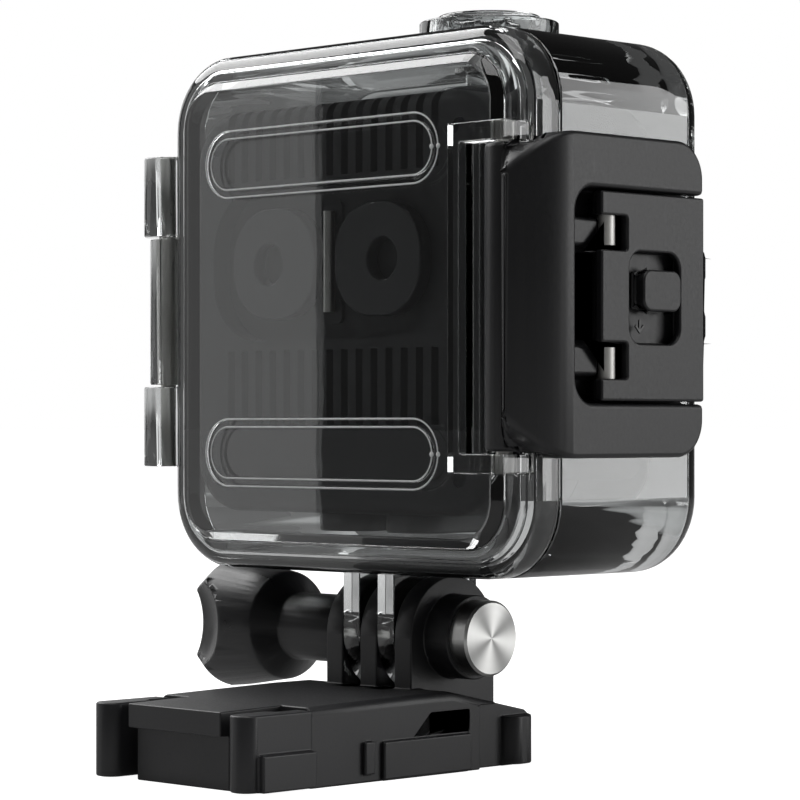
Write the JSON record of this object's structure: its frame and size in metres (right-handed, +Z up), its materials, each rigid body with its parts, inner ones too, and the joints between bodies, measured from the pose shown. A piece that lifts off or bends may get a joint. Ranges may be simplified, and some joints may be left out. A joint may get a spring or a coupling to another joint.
{
  "type": "action camera in a dive housing",
  "caption": "Compact action camera sealed in a clear hinged dive housing with a side latch, on a tilting finger mount and quick-release buckle.",
  "frame": {"origin": "on the buckle's flat underside, straight below the tilt axis", "axes": "+Z up, -Y the way the lens looks, +X the door hinge side, -X the latch side"},
  "size_m": [0.0745, 0.0708, 0.0939],
  "materials": {
    "clear": "clear moulded polycarbonate, polished",
    "port_glass": "flat coated window",
    "lens_glass": "coated optical glass",
    "black_plastic": "fine moulded texture",
    "latch_plastic": "satin moulded",
    "camera_case": "soft-touch",
    "gloss_black": "polished",
    "steel": "turned",
    "seal": "matt silicone",
    "aluminium": "machined",
    "brass": "machined",
    "board": "solder-masked board",
    "cell": "wrapped cell"
  },
  "bodies": {
    "buckle": {"buckle_base": "black_plastic", "axle_nut": "brass", "nut_cap": "steel"},
    "snap_arm_left": {"buckle_snap_arm_left": "black_plastic"},
    "snap_arm_right": {"buckle_snap_arm_right": "black_plastic"},
    "washer": {"thrust_washer": "steel"},
    "thumb_screw": {"thumb_knob": "black_plastic", "clamp_bolt": "steel"},
    "housing": {"housing_shell": "clear", "lens_port_gasket": "seal", "lens_port_glass": "port_glass", "lens_port_ring": "latch_plastic", "port_screws": "steel", "door_hinge_pin": "steel", "shutter_oring": "seal", "shutter_spring": "steel", "camera_front_shell": "camera_case", "camera_rear_shell": "camera_case", "lens_bezel": "gloss_black", "lens_cover_glass": "lens_glass", "lens_barrel": "aluminium", "front_lens_element": "lens_glass", "rear_lens_element": "lens_glass", "image_sensor": "gloss_black", "sensor_board": "board", "main_board": "board", "heat_spreader": "aluminium", "battery_cell": "cell", "usb_port": "steel", "memory_card": "gloss_black", "speaker": "gloss_black", "microphone": "steel", "status_display": "gloss_black", "side_door": "camera_case", "rear_finger_left": "camera_case", "rear_finger_right": "camera_case", "rear_finger_pin": "steel", "bottom_finger_left": "camera_case", "bottom_finger_right": "camera_case", "camera_screws": "steel"},
    "plunger": {"shutter_plunger": "clear", "shutter_clip": "steel"},
    "camera_shutter": {"camera_button": "camera_case"},
    "door": {"rear_door": "clear", "door_gasket": "seal", "latch_hinge_pin": "steel"},
    "latch": {"latch_frame": "latch_plastic"},
    "lever": {"latch_lever": "latch_plastic", "latch_lever_pins": "steel"},
    "lock": {"lock_slider": "latch_plastic"}
  },
  "joints": [
    {"name": "housing_tilt", "type": "hinge", "parent": "buckle", "child": "housing", "pos_m": [0, 0, 0.0162], "axis": [1, 0, 0], "range_deg": [-48, 75]},
    {"name": "door_swing", "type": "hinge", "parent": "housing", "child": "door", "pos_m": [0.033, 0.012, 0.0573], "axis": [0, 0, -1], "range_deg": [0, 100]},
    {"name": "latch_swing", "type": "hinge", "parent": "door", "child": "latch", "pos_m": [-0.0305, 0.0152, 0.0577], "axis": [0, 0, -1], "range_deg": [0, 90]},
    {"name": "lever_pull", "type": "hinge", "parent": "latch", "child": "lever", "pos_m": [-0.0364, 0.00407, 0.0577], "axis": [0, 0, -1], "range_deg": [0, 60]},
    {"name": "lock_slide", "type": "slide", "parent": "lever", "child": "lock", "axis": [0, 0, -1], "range_m": [0, 0.0036]},
    {"name": "shutter_press", "type": "slide", "parent": "housing", "child": "plunger", "axis": [0, 0, -1], "range_m": [0, 0.0015], "stiffness_N_per_m": 400, "springref_m": -0.001, "deforming": ["shutter_spring"]},
    {"name": "camera_button_press", "type": "slide", "parent": "housing", "child": "camera_shutter", "axis": [0, 0, -1], "range_m": [0, 0.0012]},
    {"name": "snap_arm_left_flex", "type": "hinge", "parent": "buckle", "child": "snap_arm_left", "pos_m": [0.0103, 0.008, 0.0023], "axis": [0, 0, 1], "range_deg": [0, 2], "stiffness_Nm_per_rad": 8},
    {"name": "snap_arm_right_flex", "type": "hinge", "parent": "buckle", "child": "snap_arm_right", "pos_m": [-0.0103, 0.008, 0.0023], "axis": [0, 0, -1], "range_deg": [0, 2], "stiffness_Nm_per_rad": 8},
    {"name": "screw_travel", "type": "slide", "parent": "buckle", "child": "washer", "axis": [1, 0, 0], "range_m": [0, 0.004]},
    {"name": "thumb_screw_turn", "type": "hinge", "parent": "washer", "child": "thumb_screw", "pos_m": [0.02, 0, 0.0162], "axis": [1, 0, 0], "range_deg": [0, 1800]}
  ],
  "couplings": [
    {"joint": "latch_swing", "follows": "door_swing", "ratio": 0.9},
    {"joint": "lever_pull", "follows": "door_swing", "ratio": 0.6},
    {"joint": "camera_button_press", "follows": "shutter_press", "ratio": 0.8},
    {"joint": "screw_travel", "follows": "thumb_screw_turn", "m_per_rad": 0.00012732}
  ]
}
